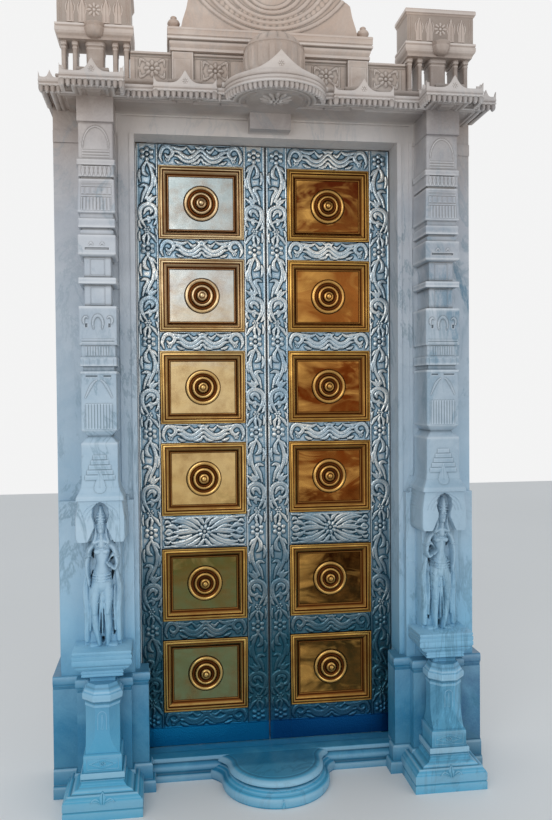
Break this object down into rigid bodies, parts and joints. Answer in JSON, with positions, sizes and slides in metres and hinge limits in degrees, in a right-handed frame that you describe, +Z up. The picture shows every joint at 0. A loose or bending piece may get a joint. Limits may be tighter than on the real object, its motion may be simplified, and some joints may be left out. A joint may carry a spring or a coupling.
{
  "type": "temple door",
  "caption": "Pair of temple door leaves in embossed silver and panelled brass over teak, turning on pivots in a carved marble surround with pilasters, canopy and half-round step",
  "frame": {"origin": "on the floor, in the middle of the doorway, on the line between the leaves' pivot axes", "axes": "+X to the right seen from the front, +Y inwards through the doorway, +Z up"},
  "size_m": [1.641, 0.547, 2.99],
  "materials": {
    "marble": "satin",
    "teak": "satin",
    "silver": "satin",
    "brass": "polished",
    "bronze": "satin"
  },
  "bodies": {
    "surround": {"threshold": "marble", "lintel": "marble", "keystone": "marble", "canopy": "marble", "frieze": "marble", "pediment_base": "marble", "pediment": "marble", "left_plinth": "marble", "left_jamb": "marble", "left_pedestal": "marble", "left_figure_panel": "marble", "left_lower_shaft": "marble", "left_upper_shaft": "marble", "left_capital": "marble", "left_cornice": "marble", "left_upper_posts": "marble", "left_upper_capital": "marble", "left_lower_socket": "bronze", "left_upper_socket": "bronze", "right_plinth": "marble", "right_jamb": "marble", "right_pedestal": "marble", "right_figure_panel": "marble", "right_lower_shaft": "marble", "right_upper_shaft": "marble", "right_capital": "marble", "right_cornice": "marble", "right_upper_posts": "marble", "right_upper_capital": "marble", "right_lower_socket": "bronze", "right_upper_socket": "bronze"},
    "left_leaf": {"left_hinge_stile": "teak", "left_meeting_stile": "teak", "left_rails": "teak", "left_wood_panels": "teak", "left_hinge_stile_silver": "silver", "left_meeting_stile_silver": "silver", "left_rail_silver": "silver", "left_kick_plate": "silver", "left_brass_frames": "brass", "left_brass_panels": "brass", "left_ring_bosses": "brass", "left_lower_pivot": "bronze", "left_upper_pivot": "bronze"},
    "right_leaf": {"right_hinge_stile": "teak", "right_meeting_stile": "teak", "right_rails": "teak", "right_wood_panels": "teak", "right_hinge_stile_silver": "silver", "right_meeting_stile_silver": "silver", "right_rail_silver": "silver", "right_kick_plate": "silver", "right_brass_frames": "brass", "right_brass_panels": "brass", "right_ring_bosses": "brass", "right_lower_pivot": "bronze", "right_upper_pivot": "bronze"}
  },
  "joints": [
    {"name": "left_hinge", "type": "hinge", "parent": "surround", "child": "left_leaf", "pos_m": [-0.4815, 0, 0.095], "axis": [0, 0, 1], "range_deg": [0, 90]},
    {"name": "right_hinge", "type": "hinge", "parent": "surround", "child": "right_leaf", "pos_m": [0.4815, 0, 0.095], "axis": [0, 0, -1], "range_deg": [0, 90]}
  ]
}
